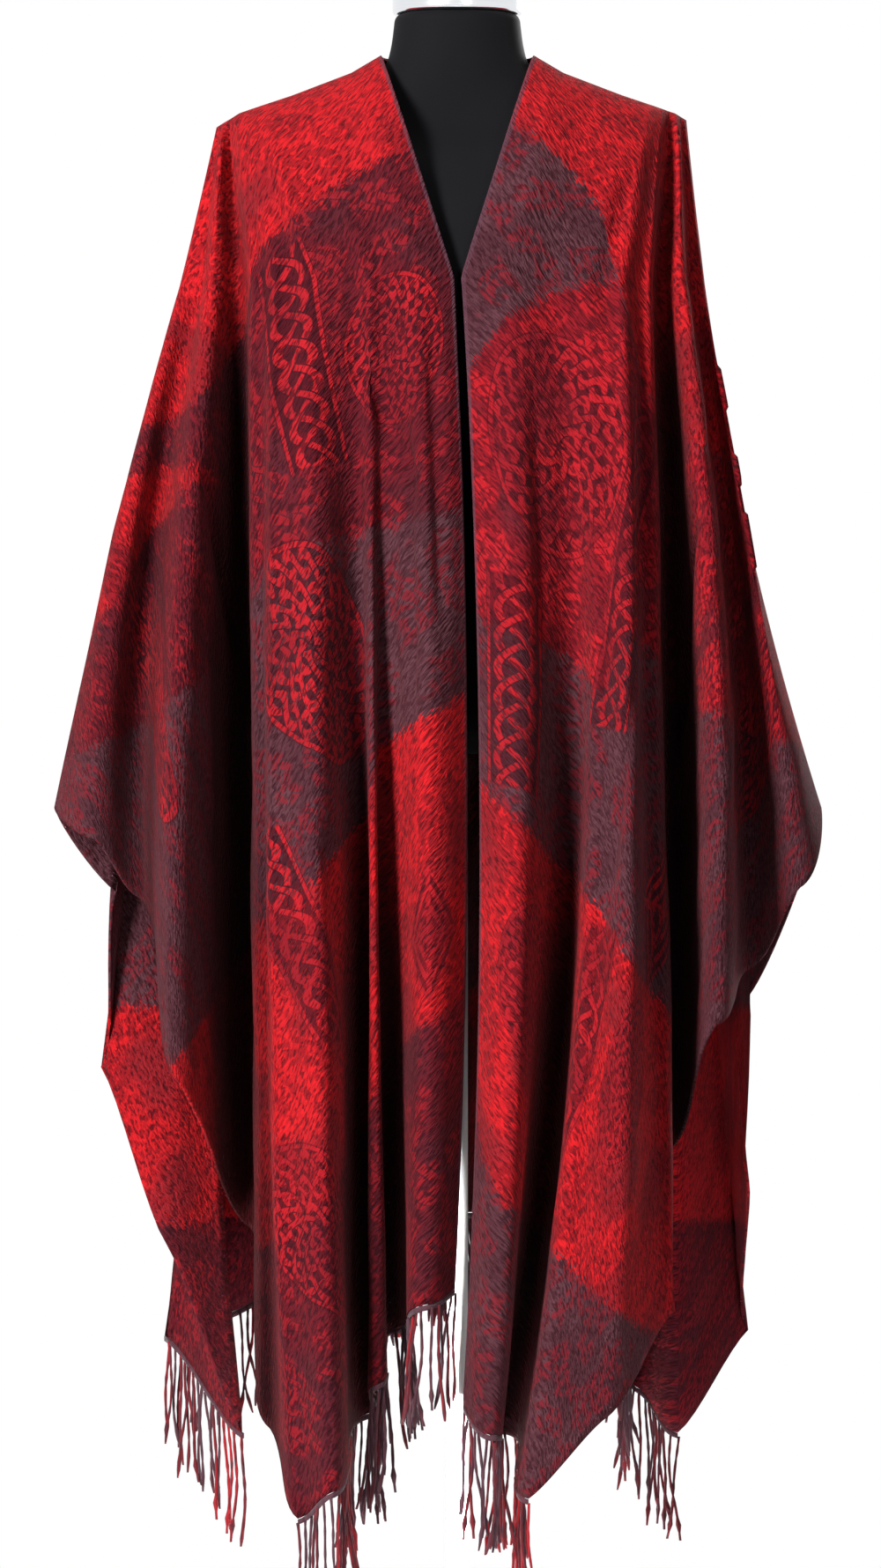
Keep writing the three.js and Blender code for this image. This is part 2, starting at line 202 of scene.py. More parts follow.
def satin_white():
    w = Wires("satin_white")
    spot = w.place()
    speck = w.noise(spot, 900.0, 3.0)
    colour = w.blend(w.noise(spot, 6.0), (0.84, 0.84, 0.83, 1), (0.9, 0.9, 0.89, 1))
    w.bump(speck, 0.08, 0.0004)
    return w.finish(colour, w.scaled(speck, 0.15, 0.32))


white = satin_white()
BASE_R = 0.160
BASE_H = 0.009
GAP = 0.0003  # between touching pieces
FOOT_BEVEL = 0.002
RIM_DROP, RIM_IN = 0.003, 0.004
plate_line = [(0, 0), (BASE_R - FOOT_BEVEL, 0), (BASE_R, FOOT_BEVEL), (BASE_R, BASE_H - RIM_DROP),
              (BASE_R - RIM_IN, BASE_H), (0.02, BASE_H), (0, BASE_H)]
base = turned("stand_base", rounded(plate_line, 0.0012), white)
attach(base, "root")
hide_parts("form_base")

# ---------------------------------------------------------------------------
# Pole: a slim straight steel tube, painted as the base is. It is pushed into
# the base plate below and into the torso's foot above.
# ---------------------------------------------------------------------------
POLE_R = 0.009
FORM_FOOT = 0.858
pole_line = [(0, BASE_H + GAP), (POLE_R, BASE_H + GAP), (POLE_R, 0.2), (POLE_R, 0.5),
             (POLE_R, FORM_FOOT - GAP), (0, FORM_FOOT - GAP)]
pole = turned("stand_pole", pole_line, white, 48)
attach(pole, "root")
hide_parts("form_pole")

# ---------------------------------------------------------------------------
# Torso: a limbless display form with a plain neck, moulded in one piece and
# covered in smooth black jersey. Its sections are height, half width, half depth.
# ---------------------------------------------------------------------------
TORSO = [
    (0.858, 0.096, 0.058), (0.868, 0.128, 0.078), (0.892, 0.140, 0.088),
    (0.950, 0.140, 0.090), (1.080, 0.118, 0.078), (1.170, 0.138, 0.092),
    (1.255, 0.158, 0.106), (1.310, 0.172, 0.098), (1.350, 0.184, 0.080),
    (1.376, 0.184, 0.056), (1.392, 0.150, 0.050), (1.406, 0.112, 0.049),
    (1.422, 0.078, 0.050), (1.440, 0.062, 0.051), (1.462, 0.056, 0.051),
    (1.480, 0.055, 0.051), (1.486, 0.053, 0.049),
]
SQUARE = 2.3


def torso_at(z):
    heights = [s[0] for s in TORSO]
    return (np.interp(z, heights, [s[1] for s in TORSO]),
            np.interp(z, heights, [s[2] for s in TORSO]))


def torso_depth(out, z):
    """Half depth of the torso at a distance out and a height, 0 beside it."""
    if z < FORM_FOOT or z > TORSO[-1][0]:
        return 0.0
    w, d = torso_at(z)
    k = abs(out) / w
    return 0.0 if k >= 1 else d * (1 - k ** SQUARE) ** (1 / SQUARE)


def jersey():
    w = Wires("black_jersey")
    spot = w.place()
    rib = w.noise(w.mapping(spot, (1, 1, 0.25)), 1400.0, 2.0)
    cloud = w.noise(spot, 14.0, 3.0)
    colour = w.blend(cloud, (0.0040, 0.0040, 0.0050, 1), (0.0075, 0.0075, 0.0090, 1))
    w.bump(rib, 0.18, 0.0003)
    return w.finish(colour, w.scaled(cloud, 0.1, 0.72), Sheen_Weight=0.03,
                    Specular_IOR_Level=0.06)


FOOT_PART, NECK_PART = 0.020, 0.008  # the lengths at the two ends with closer rings
SOFTEN = (-0.010, -0.005, 0.0, 0.005, 0.010)  # heights that each ring is averaged over
NECK_ROUND_H, NECK_ROUND = 0.006, 0.0045
INSET = 0.0008


def torso_mesh(sides=96, levels=110):
    foot, neck = TORSO[0][0], TORSO[-1][0]
    heights = np.concatenate([np.linspace(foot, foot + FOOT_PART, 12)[:-1],
                              np.linspace(foot + FOOT_PART, neck - NECK_PART, levels),
                              np.linspace(neck - NECK_PART, neck, 8)[1:]])
    rows = []
    for z in heights:
        w, d = 0.0, 0.0
        for shift in SOFTEN:
            a, b = torso_at(min(max(z + shift, foot), neck))
            w, d = w + a / len(SOFTEN), d + b / len(SOFTEN)
        cap = min(1.0, (neck - z) / NECK_ROUND_H)
        pull = NECK_ROUND * (1 - math.sqrt(max(0.0, 1 - (1 - cap) ** 2)))
        rows.append((z, min(w, torso_at(z)[0] + 0.002) - pull - INSET, d - pull - INSET))
    points = [(CENTRE.x, CENTRE.y, rows[0][0])]
    for z, w, d in rows:
        for k in range(sides):
            a = 2 * math.pi * k / sides
            c, s = math.cos(a), math.sin(a)
            points.append((CENTRE.x + w * math.copysign(abs(c) ** (2 / SQUARE), c),
                           CENTRE.y + d * math.copysign(abs(s) ** (2 / SQUARE), s), z))
    points.append((CENTRE.x, CENTRE.y, rows[-1][0]))
    return points, closed_stack(len(rows), sides)


torso_points, torso_faces = torso_mesh()
torso = mesh_piece("torso", torso_points, torso_faces, jersey())
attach(torso, "root")
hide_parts("form_body")

# ---------------------------------------------------------------------------
# Neck cap: a bright chromed metal lid that closes the top of the neck. It is
# spun from sheet, with a rounded upper rim.
# ---------------------------------------------------------------------------


def bright_chrome():
    w = Wires("bright_chrome")
    spot = w.place()
    brushed = w.noise(w.mapping(spot, (1, 1, 60)), 30.0, 3.0)
    colour = w.blend(brushed, (0.72, 0.74, 0.77, 1), (0.86, 0.87, 0.89, 1))
    w.bump(brushed, 0.04, 0.0003)
    return w.finish(colour, w.scaled(brushed, 0.08, 0.1), Metallic=1.0)


cap_line = [(0, 1.4864), (0.0535, 1.4864), (0.0552, 1.4885), (0.0552, 1.508), (0.050, 1.5135),
            (0, 1.514)]
cap = turned("neck_cap", rounded(cap_line, 0.003, 6), bright_chrome())
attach(cap, "root")
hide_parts("form_cap")

# ---------------------------------------------------------------------------
# Back half of the ruana: soft brushed jacquard, woven in one with the fronts.
# It hangs from the shoulder fold in deep folds, between two plain selvedges.
# ---------------------------------------------------------------------------
CLOTH = 0.0022  # wall thickness
SEAM = 0.0004  # between the front and back sheets at the shoulder fold
CHEST = 1.255  # height where the cloth leaves the shoulders and hangs
NECK_SIDE = 0.065
NAPE = 0.064
OVER = 0.3  # share of a fold line that turns over the shoulder
RIDGE = [(0, 1.456), (0.065, 1.452), (0.090, 1.437), (0.140, 1.418),
         (0.185, 1.403), (0.205, 1.391), (0.215, 1.380)]

# Fold lines from the centre back outwards, in mm: name, where it leaves the shoulder
# fold, then (out, depth) at chest height, half way down and at the edge, and its height.
BACK_LEFT = [
    ("centre", 0, (0, 120), (0, 104), (0, 80), 462),
    ("first lobe", 26, (34, 124), (34, 172), (36, 200), 456),
    ("first valley", 50, (60, 116), (62, 100), (66, 62), 442),
    ("second lobe", 80, (88, 120), (92, 172), (98, 204), 420),
    ("second valley", 115, (114, 108), (120, 92), (128, 62), 400),
    ("third lobe", 145, (138, 106), (150, 168), (160, 200), 384),
    ("third valley", 162, (160, 88), (178, 132), (208, 168), 366),
    ("hem fold", 174, (172, 80), (204, 142), (256, 150), 350),
    ("corner", 184, (184, 68), (214, 96), (186, 76), 272),
    ("selvedge turn", 192, (198, 56), (236, 88), (250, 48), 437),
    ("wing back", 199, (212, 50), (262, 64), (307, 74), 588),
    ("wing edge", 203, (226, 34), (278, 38), (293, 34), 740),
    ("shoulder fold", 205, (235, 0), (293, 0), (343, 0), 813),
]
BACK_RIGHT = [
    ("centre", 0, (0, 120), (0, 104), (0, 80), 462),
    ("first lobe", 28, (32, 123), (36, 166), (42, 194), 454),
    ("first valley", 52, (60, 115), (66, 98), (74, 60), 436),
    ("second lobe", 84, (90, 120), (98, 176), (106, 208), 410),
    ("second valley", 116, (118, 106), (126, 92), (132, 66), 380),
    ("hem lobe", 140, (140, 104), (158, 160), (158, 178), 302),
    ("corner", 160, (160, 84), (186, 108), (192, 118), 268),
    ("selvedge foot", 174, (174, 76), (208, 124), (254, 132), 356),
    ("selvedge", 184, (188, 54), (224, 64), (247, 52), 505),
    ("wing back", 190, (200, 46), (246, 72), (252, 66), 650),
    ("shoulder fold", 195, (210, 0), (250, 0), (310, 0), 812),
]
# Heights in mm where the woven colour changes, from the shoulder down, on three fold lines.
BACK_BANDS = {"centre": (1230, 1010, 640, 520), "second lobe": (1200, 980, 668, 500),
              "wing back": (1150, 930, 640, 452)}


def in_metres(table):
    return [dict(line=n, top=t / 1e3, chest=np.array(c) / 1e3, mid=np.array(m) / 1e3,
                 low=np.array(lo) / 1e3, z=z / 1e3) for n, t, c, m, lo, z in table]


def on_line(row, w):
    """Points (out, depth, height) down one fold line, for an array w from 0 to 1."""
    beside = min(1.0, row["top"] / NECK_SIDE)
    nape = NAPE * math.sqrt(1 - beside ** 2)
    top_z = np.interp(row["top"], [r[0] for r in RIDGE], [r[1] for r in RIDGE])
    turn = np.clip(w / OVER, 0, 1) * math.pi / 2
    t = np.clip((w - OVER) / (1 - OVER), 0, 1)

    def bend(a, m, b):
        return a * (1 - t) * (1 - 2 * t) + m * 4 * t * (1 - t) + b * t * (2 * t - 1)

    over = w <= OVER
    out = np.where(over, row["chest"][0] + (row["top"] - row["chest"][0]) * np.cos(turn),
                   bend(row["chest"][0], row["mid"][0], row["low"][0]))
    fore = np.where(over, nape + (row["chest"][1] - nape) * np.sin(turn),
                    bend(row["chest"][1], row["mid"][1], row["low"][1]))
    z = np.where(over, CHEST + (top_z - CHEST) * np.cos(turn), CHEST + (row["z"] - CHEST) * t)
    return np.stack([out, fore, z], axis=1)


SWING, SWING_SHARE, SWING_MOST = 0.030, 0.35, 0.9
TURN_WIDTH = 0.010


def between(a, b, t, first, last):
    """A column of points between two fold lines: level at each, swinging across between."""
    d = b - a
    span = np.hypot(d[:, 0], d[:, 1])
    sweep = np.minimum(SWING_MOST * span, SWING + SWING_SHARE * span)
    sweep = sweep * np.clip(d[:, 0] / TURN_WIDTH, -1, 1)
    h0, h1, s = t * (1 - t) ** 2, -t * t * (1 - t), t * t * (3 - 2 * t)
    sa, fa = (0.5 * d[:, 0], 0.5 * d[:, 1]) if first else (sweep, 0)
    sb, fb = (0, 1.3 * d[:, 1]) if last else (sweep, 0)
    return np.stack([a[:, 0] + d[:, 0] * s + h0 * sa + h1 * sb,
                     a[:, 1] + d[:, 1] * s + h0 * fa + h1 * fb,
                     a[:, 2] + d[:, 2] * (t + s) / 2], axis=1)


CLEAR = 0.005  # room that the cloth leaves round the torso
CLOSER_UP = 1.1  # above 1, rows lie closer at the shoulder than at the hem


def panel_points(table, side, face, across, rows):
    """A grid of points on the cloth's inner face, and each column's place in the table."""
    w = np.linspace(0, 1, rows + 1) ** CLOSER_UP
    lines = [on_line(r, w) for r in table]
    lengths = [float(np.mean(np.hypot(*(b - a)[:, :2].T))) + 0.004
               for a, b in zip(lines, lines[1:])]
    total = sum(lengths)
    columns, places = [], []
    for i, length in enumerate(lengths):
        steps = max(6, int(round(across * length / total)))
        for k in range(steps + (i == len(lengths) - 1)):
            t = k / steps
            folded = between(lines[i], lines[i + 1], t, i == 0, i == len(lengths) - 1)
            mixed = {key: table[i][key] * (1 - t) + table[i + 1][key] * t
                     for key in ("top", "chest", "mid", "low", "z")}
            blend = np.clip(w / OVER, 0, 1)[:, None] ** 2
            column = on_line(mixed, w) * (1 - blend) + folded * blend
            for r, p in enumerate(column):
                inside = torso_depth(p[0], p[2])
                if r and inside and t + i < len(lengths):
                    p[1] = max(p[1], inside + CLEAR)
            columns.append(column)
            places.append(i + t)
    grid = np.stack(columns, axis=1)
    points = np.empty_like(grid)
    points[..., 0] = CENTRE.x + side * grid[..., 0]
    points[..., 1] = CENTRE.y + face * (np.maximum(grid[..., 1], 0) + SEAM / 2)
    points[..., 2] = grid[..., 2]
    return points, np.array(places)


def grid_normals(points, outside):
    across = np.gradient(points, axis=1)
    down = np.gradient(points, axis=0)
    n = np.cross(across, -down) * outside
    return n / np.maximum(np.linalg.norm(n, axis=2, keepdims=True), 1e-9)


def arc(points, axis):
    step = np.linalg.norm(np.diff(points, axis=axis), axis=2)
    zero = np.zeros_like(np.take(step, [0], axis=axis))
    return np.concatenate([zero, np.cumsum(step, axis=axis)], axis=axis)


SLOW_SWAY, QUICK_SWAY = 0.0022, 0.0007
SWAY_FROM = 0.12


def creases(u, v, table, seed):
    """How far the cloth stands in or out: soft ridges and troughs, and an uneven sway. A row of
    the table is where a crease starts and ends on the flat cloth, its width and its height."""
    lift = np.zeros_like(u)
    for u0, v0, u1, v1, wide, deep in table:
        along = np.array([u1 - u0, v1 - v0])
        length = np.linalg.norm(along)
        along /= length
        a = (u - u0) * along[0] + (v - v0) * along[1]
        b = (u - u0) * -along[1] + (v - v0) * along[0]
        ends = np.clip(a / (0.3 * length), 0, 1) * np.clip((length - a) / (0.3 * length), 0, 1)
        ends = ends * ends * (3 - 2 * ends)
        lift += deep * ends * np.exp(-(b / wide) ** 2)
    for r in range(u.shape[0]):
        for c in range(u.shape[1]):
            x, y = float(u[r, c]), float(v[r, c])
            slow = noise.noise(Vector((x * 13, y * 3.2, seed)))
            quick = noise.noise(Vector((x * 34, y * 9, seed + 5)))
            lift[r, c] += (SLOW_SWAY * slow + QUICK_SWAY * quick) * min(1.0, y / SWAY_FROM)
    return lift


# Painted shade for the cloth: a point's colour darkens by how far it lies below the ridges within
# NEAR of it, from HOLLOW down to fully dark HOLLOW_RANGE further; FADE is in fold lines.
NEAR = 0.050
HOLLOW, HOLLOW_RANGE = 0.038, 0.058
FADE = 1.6


def fold_shade(points, places, reach):
    """How far each point lies down in a fold, 0 to 1, against the ridges near it: the amount of
    painted shade that darkens the cloth's colour there. It fades out over the last fold lines
    before reach."""
    out = np.zeros(points.shape[:2])
    fore = np.abs(points[..., 1] - CENTRE.y)
    for r in range(points.shape[0]):
        x = points[r, :, 0]
        near = np.abs(x[:, None] - x[None, :]) < NEAR
        ridge = np.where(near, fore[r][None, :], 0).max(axis=1)
        out[r] = np.clip((ridge - fore[r] - HOLLOW) / HOLLOW_RANGE, 0, 1)
    out = out * out * (3 - 2 * out)
    return out * np.clip((reach - np.abs(places)) / FADE, 0, 1)[None, :]


def keep_value(mesh, name, values):
    keep = mesh.attributes.new(name, "FLOAT", "POINT")
    keep.data.foreach_set("value", values.ravel())


INWARD_MOST = -0.0025  # so that a trough never reaches the cloth behind it
CALM_COLUMNS = 40.0  # from the shoulder fold inwards
SLIT_FREE = 0.3
# How many fold lines out from the centre back the painted fold shade reaches; on the fronts it
# stops FRONT_REACH short of the shoulder fold.
BACK_REACH = 6.0
FRONT_REACH = 1.2  # fold lines before the shoulder fold
BANDS = 6


def cloth_piece(name, points, places, outside, bands, tables, material, crease_table, seed,
                slit=True):
    """The hung cloth as one sheet, with its flat place, its colour bands and the amount of painted
    shade in its folds kept on it.
    """
    v, u = arc(points, 0), arc(points, 1)
    lift = creases(u, v, crease_table, seed)
    n = grid_normals(points, outside)
    free = np.ones(points.shape[:2])
    free[0, :] = 0
    free[:, -1] = 0
    free[:, 0] = SLIT_FREE if slit else 0
    place = np.arange(points.shape[1])
    inward = place[::-1] if slit else np.minimum(place, place[::-1])
    edge = np.clip(inward[None, :] / CALM_COLUMNS, 0, 1) ** 2
    shaped = points + n * (np.maximum(lift, INWARD_MOST) * free * edge)[..., None]
    rows, cols = points.shape[:2]
    faces = []
    for r in range(rows - 1):
        for c in range(cols - 1):
            a = r * cols + c
            quad = (a, a + cols, a + cols + 1, a + 1)
            faces.append(quad if outside > 0 else quad[::-1])
    piece = mesh_piece(name, [tuple(p) for p in shaped.reshape(-1, 3)], faces, material)
    mesh = piece.data
    flat = mesh.uv_layers.new(name="flat")
    loops = np.empty(len(mesh.loops), dtype=np.int32)
    mesh.loops.foreach_get("vertex_index", loops)
    uv = np.stack([u.ravel()[loops], v.ravel()[loops]], axis=1)
    flat.data.foreach_set("uv", uv.ravel())
    for k in range(BANDS):
        heights = np.array([b[k] if k < len(b) else -100.0 for b in bands.values()]) / 1e3
        where = [tables.index(line) for line in bands]
        level = np.interp(places, where, heights)
        keep_value(mesh, f"band{k + 1}", points[..., 2] - level[None, :])
    keep_value(mesh, "rim", u if slit else u + 1)
    # The painted shade in the folds is kept on the mesh, for the jacquard to darken its colour
    # with.
    reach = places[-1] - FRONT_REACH if slit else BACK_REACH
    keep_value(mesh, "painted_fold_shade", fold_shade(points, places, reach))
    thick = piece.modifiers.new("thickness", "SOLIDIFY")
    thick.thickness = CLOTH
    thick.offset = 1.0
    return piece


# Each woven colour: its ground, the flecks across it and the figures drawn in it.
BRIGHT = ((0.54, 0.011, 0.015, 1), (0.24, 0.007, 0.011, 1), (0.22, 0.007, 0.011, 1))
MIDRED = ((0.24, 0.008, 0.014, 1), (0.075, 0.005, 0.009, 1), (0.44, 0.011, 0.017, 1))
MAROON = ((0.080, 0.007, 0.012, 1), (0.165, 0.008, 0.014, 1), (0.25, 0.009, 0.015, 1))
PLUM = ((0.095, 0.034, 0.043, 1), (0.034, 0.007, 0.012, 1), (0.17, 0.010, 0.017, 1))
SHADE = (0.022, 0.003, 0.006, 1)
WORN = (0.050, 0.012, 0.018, 1)
FIELD = (0.045, 0.004, 0.008, 1)
THREADS = ((0.20, 0.008, 0.014, 1), (0.42, 0.011, 0.017, 1))
SLIT_EDGE = (0.085, 0.035, 0.050, 1)
# Painted shade: the near-black colour that the cloth is blended towards in its deep folds.
PAINTED_FOLD_SHADE = (0.0045, 0.0012, 0.0018, 1)
SLANT = -0.66
LATTICE = 0.021
STRAND = (0.27, 0.21)  # a lattice strand's edge, as a share of its cell
KNOT_RINGS = ((0.86, 0.11, 12), (0.52, 0.12, 8), (0.20, 0.10, 3))  # radius, swing, lobes
KNOT_THREAD = 0.062
KNOT_SQUASH = 0.72
PLAIT_HALF, PLAIT_PITCH = 0.0175, 0.075


class Figures:
    """Woven figures: each call adds one, and mask is where their threads lie on top."""

    def __init__(self, w, u, v):
        self.w, self.u, self.v = w, u, v
        self.mask = self.field = None

    def join(self, mask, field=None):
        w = self.w
        self.mask = mask if self.mask is None else w.math("MAXIMUM", self.mask, mask)
        if field is not None:
            self.field = field if self.field is None else w.math("MAXIMUM", self.field, field)

    def interlace(self, phase, offset, count, swing, wide, crossings):
        """Waving strands that pass over and under each other, with a gap beside each."""
        w, value, level = self.w, 0.0, -2.0
        for i in range(count):
            turn = w.math("ADD", phase, i * 2 * math.pi / count)
            gap = w.math("ABSOLUTE", w.scaled(w.math("SINE", turn), -swing, offset))
            if crossings == 2:
                height = w.math("SINE", w.times(turn, 2))
            else:
                height = w.math("COSINE", turn)
            take = w.times(w.math("LESS_THAN", gap, wide * 1.5),
                           w.math("GREATER_THAN", height, level))
            core = w.ramp(gap, wide * 1.1, wide * 0.85)
            value = w.scaled(w.minus(core, value), take, value)
            level = w.scaled(w.minus(height, level), take, level)
        return value

    def ring_knots(self, places):
        """Round knots of three woven rings, worked out once about the nearest of the places."""
        w, best = self.w, None
        for cu, cv, radius in places:
            a = w.scaled(self.u, 1 / radius, -cu / radius)
            b = w.scaled(self.v, KNOT_SQUASH / radius, -KNOT_SQUASH * cv / radius)
            far = w.scaled(a, a, w.times(b, b))
            if best is None:
                best, across, down = far, a, b
                continue
            near = w.math("LESS_THAN", far, best)
            best = w.math("MINIMUM", far, best)
            across = w.scaled(w.minus(a, across), near, across)
            down = w.scaled(w.minus(b, down), near, down)
        r = w.math("SQRT", best)
        angle = w.math("ARCTAN2", down, across)
        for part, swing, lobes in KNOT_RINGS:
            self.join(self.interlace(w.times(angle, lobes), w.minus(r, part),
                                     2, swing, KNOT_THREAD, 1))
        rim = w.math("ABSOLUTE", w.minus(r, 1.06))
        self.join(w.ramp(rim, 0.035, 0.025), w.ramp(r, 1.12, 1.09))

    def plaits(self, places, wide, pitch):
        """Upright three-strand plaits between two rails, worked out once for all the places."""
        w, window = self.w, None
        for at, v0, v1 in places:
            beside = w.minus(self.u, at)
            length = w.times(w.ramp(self.v, v0, v0 + 0.004), w.ramp(self.v, v1, v1 - 0.004))
            reach = w.ramp(w.math("ABSOLUTE", beside), wide * 1.8, wide * 1.75)
            reach = w.times(reach, length)
            inside = w.math("GREATER_THAN", reach, 0.0)
            if window is None:
                window, offset = reach, beside
                continue
            window = w.math("MAXIMUM", window, reach)
            offset = w.scaled(w.minus(beside, offset), inside, offset)
        mask = self.interlace(w.times(self.v, 2 * math.pi / pitch), offset, 3, wide,
                              wide * 0.27, 2)
        rail = w.math("ABSOLUTE", w.minus(w.math("ABSOLUTE", offset), wide * 1.62))
        mask = w.math("MAXIMUM", mask, w.ramp(rail, wide * 0.13, wide * 0.09))
        self.join(w.times(mask, window), window)

    def diamond(self, cu, cv, size):
        """Nested diamonds with a cross of thread through them."""
        w = self.w
        du = w.math("ABSOLUTE", w.minus(self.u, cu))
        dv = w.times(w.math("ABSOLUTE", w.minus(self.v, cv)), 0.62)
        reach = w.math("DIVIDE", w.math("ADD", du, dv), size)
        steps = w.math("FRACT", w.times(reach, 3.5))
        steps = w.math("ABSOLUTE", w.minus(steps, 0.5))
        cross = w.ramp(w.math("MINIMUM", du, dv), 0.0026, 0.0018)
        lines = w.math("MAXIMUM", w.ramp(steps, 0.27, 0.22), cross)
        field = w.ramp(reach, 1.02, 0.99)
        self.join(w.times(lines, field), field)

    def lattice(self, warp, window):
        """Slanting strands, over and under in turn, where the window lets them show."""
        w = self.w
        p = w.scaled(w.math("ADD", self.u, self.v), 1 / LATTICE, warp)
        q = w.times(w.minus(self.v, self.u), 1 / LATTICE)
        q = w.minus(q, warp)
        turns = w.times(w.math("SINE", w.times(p, math.pi)), w.math("SINE", w.times(q, math.pi)))
        over = w.math("GREATER_THAN", turns, 0.0)
        a = w.math("ABSOLUTE", w.minus(w.math("FRACT", p), 0.5))
        b = w.math("ABSOLUTE", w.minus(w.math("FRACT", q), 0.5))
        top = w.scaled(w.minus(a, b), over, b)
        under = w.minus(w.math("ADD", a, b), top)
        strand = w.math("MAXIMUM", w.ramp(top, *STRAND),
                        w.times(w.ramp(under, *STRAND), w.ramp(top, 0.33, 0.39)))
        return w.times(strand, window)


def jacquard(name, bands, knots, plaits, diamonds):
    """Brushed jacquard: bands of colour that meet in ragged woven edges, slanting flecks, an
    interlaced ground that comes and goes, a few whole figures, and painted shade that darkens the
    deep folds. bands runs down the cloth."""
    w = Wires(name)
    uv_node = w.tree.nodes.new("ShaderNodeUVMap")
    uv_node.uv_map = "flat"
    uv = uv_node.outputs[0]
    split = w.tree.nodes.new("ShaderNodeSeparateXYZ")
    w.tree.links.new(uv, split.inputs[0])
    u, v = split.outputs[0], split.outputs[1]
    slanted = w.mapping(uv, (1, 1, 1), SLANT)
    fleck = w.noise(w.mapping(slanted, (120, 480, 1)), 1.0, 1.0, 0.6)
    dark = w.noise(w.mapping(slanted, (95, 360, 1), 0.12), 1.0, 1.0, 0.6)
    patch = w.noise(uv, 11.0, 2.0, 0.55)
    fleck_mask = w.ramp(fleck, 0.47, 0.57)
    dark_mask = w.ramp(dark, 0.49, 0.57)
    ragged = w.scaled(fleck, 0.034, -0.017)

    tones = list(bands[0])
    for k, band in enumerate(bands[1:], 1):
        below = w.ramp(w.math("ADD", w.attribute(f"band{k}"), ragged), 0.0015, -0.0015)
        tones = [w.blend(below, before, after) for before, after in zip(tones, band)]
    ground, across, drawn = tones
    amount = w.times(fleck_mask, w.ramp(patch, 0.34, 0.60))
    colour = w.blend(w.scaled(amount, 0.62, 0.10), ground, across)
    worn = w.times(w.ramp(w.noise(uv, 6.5, 2.0, 0.65), 0.50, 0.60), 0.55)
    colour = w.blend(worn, colour, WORN)

    figures = Figures(w, u, v)
    window = w.ramp(w.math("ABSOLUTE", w.minus(patch, 0.5)), 0.035, 0.065)
    woven = figures.lattice(w.scaled(patch, 6.0, -3.0), window)
    colour = w.blend(w.times(woven, 0.75), colour, drawn)
    figures.ring_knots(knots)
    figures.plaits(plaits, PLAIT_HALF, PLAIT_PITCH)
    for place in diamonds:
        figures.diamond(*place)
    colour = w.blend(w.times(figures.field, 0.8), colour, FIELD)
    thread = w.blend(w.ramp(patch, 0.35, 0.65), *THREADS)
    colour = w.blend(w.times(figures.mask, 0.92), colour, thread)
    colour = w.blend(w.times(dark_mask, 0.74), colour, SHADE)
    both = w.times(w.times(fleck_mask, dark_mask), 0.35)
    colour = w.blend(both, colour, ground)

    rim = w.ramp(w.attribute("rim"), 0.0036, 0.0026)
    colour = w.blend(w.times(rim, 0.75), colour, SLIT_EDGE)
    # Painted shade: the colour goes nearly black down in the deep folds.
    colour = w.blend(w.times(w.attribute("painted_fold_shade"), 0.93), colour, PAINTED_FOLD_SHADE)
    rib = w.noise(w.mapping(uv, (1500, 800, 1)), 1.0, 0.0)
    relief = w.scaled(fleck, 1.3, w.times(rib, 0.25))
    relief = w.scaled(dark, -1.5, relief)
    w.bump(relief, 0.9, 0.0018)
    return w.finish(colour, w.scaled(fleck, 0.1, 0.84), Sheen_Weight=0.10,
                    Sheen_Roughness=0.45, Sheen_Tint=(0.9, 0.22, 0.24, 1), Specular_IOR_Level=0.07)


FINE = 1.0
BACK_ACROSS, BACK_ROWS = int(150 * FINE), int(110 * FINE)
BACK_CREASES = [
    (0.20, 0.16, 0.34, 0.44, 0.016, 0.004), (0.52, 0.20, 0.60, 0.55, 0.018, -0.003),
    (0.80, 0.14, 0.70, 0.40, 0.014, 0.004), (0.95, 0.35, 1.02, 0.70, 0.018, 0.003),
]
back_halves = [panel_points(in_metres(table), side, 1, BACK_ACROSS, BACK_ROWS)
               for table, side in ((BACK_LEFT, -1), (BACK_RIGHT, 1))]
(back_left_grid, back_left_places), (back_right_grid, back_right_places) = back_halves
back_grid = np.concatenate([back_left_grid[:, ::-1], back_right_grid[:, 1:]], axis=1)
back_places = np.concatenate([-back_left_places[::-1], back_right_places[1:]])


def back_bands():
    out = {}
    for side, table in ((-1, BACK_LEFT), (1, BACK_RIGHT)):
        names = [row[0] for row in table]
        for line, heights in BACK_BANDS.items():
            out[side * names.index(line)] = heights
    return dict(sorted(out.items()))


back_cloth = jacquard("jacquard_back", [BRIGHT, MAROON, PLUM, BRIGHT, MAROON],
                      [(0.62, 0.40, 0.075), (1.30, 0.62, 0.075)],
                      [(0.98, 0.16, 0.86)], [(1.55, 0.40, 0.07), (0.40, 0.70, 0.07)])
levels = back_bands()
back = cloth_piece("ruana_back_cloth", back_grid, back_places, 1, levels, list(levels), back_cloth,
                   BACK_CREASES, 3.0, slit=False)
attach(back, "root")
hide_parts("ruana_back")

